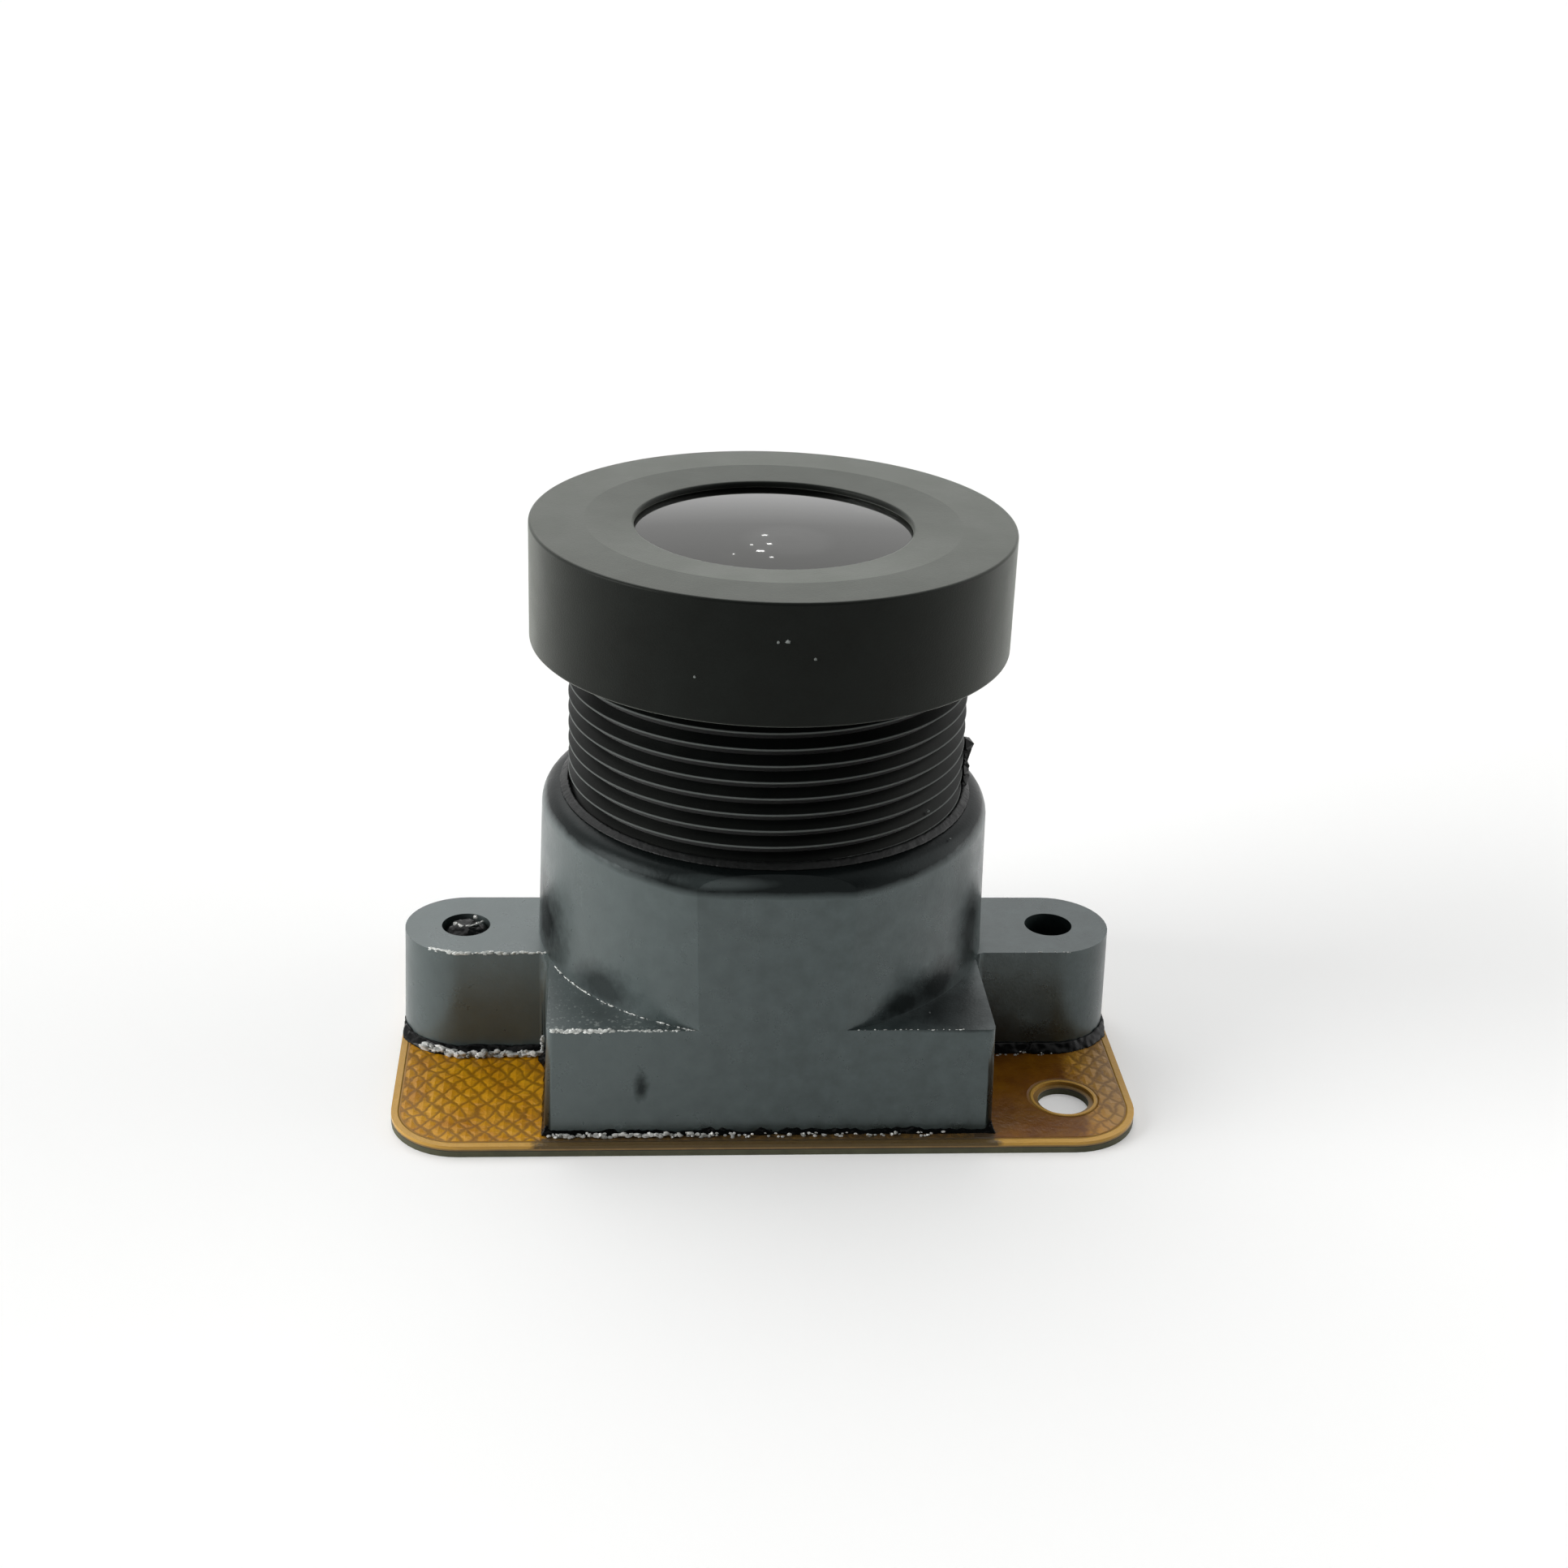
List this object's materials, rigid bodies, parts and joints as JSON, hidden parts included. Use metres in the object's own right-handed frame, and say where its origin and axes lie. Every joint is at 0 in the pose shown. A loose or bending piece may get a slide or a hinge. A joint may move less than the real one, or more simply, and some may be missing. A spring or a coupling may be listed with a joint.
{
  "type": "board-mounted camera module",
  "caption": "Screw-in wide-angle lens in a black moulded holder with side ears, glued to a small stiffened amber flexible board with a locating hole.",
  "frame": {"origin": "on the lens axis at the board's underside", "axes": "+Z along the lens axis towards the scene, +X along the line of the two ears, -Y towards the side with the locating hole"},
  "size_m": [0.0224, 0.0146, 0.0171],
  "materials": {
    "holder_plastic": "moulded, fine satin",
    "barrel_black": "black anodised, fine satin",
    "lens_glass": "polished, coated",
    "filter_glass": "polished, coated",
    "film_amber": "satin film",
    "copper": "satin",
    "stiffener_laminate": "satin laminate",
    "adhesive_sheet": "matt",
    "package_ceramic": "matt",
    "chip_silicon": "polished",
    "part_ceramic": "matt",
    "stop_black": "matt black",
    "glue_black": "cured gloss"
  },
  "bodies": {
    "root": {"stiffener_plate": "stiffener_laminate", "stiffener_adhesive": "adhesive_sheet", "base_film": "film_amber", "copper_sheet": "copper", "cover_film": "film_amber", "sensor_package": "package_ceramic", "sensor_chip": "chip_silicon", "sensor_frame": "package_ceramic", "sensor_cover_glass": "filter_glass", "chip_capacitors": "part_ceramic", "chip_resistors": "package_ceramic", "lens_holder": "holder_plastic", "infrared_filter": "filter_glass", "lens_barrel": "barrel_black", "front_element": "lens_glass", "second_element": "lens_glass", "spacer_ring": "barrel_black", "third_element": "lens_glass", "stop_ring": "barrel_black", "aperture_stop": "stop_black", "fourth_element": "lens_glass", "rear_spacer": "barrel_black", "rear_element": "lens_glass", "retaining_ring": "barrel_black", "thread_lock_glue": "glue_black", "foot_bead": "glue_black", "ear_plug": "glue_black"}
  },
  "joints": []
}
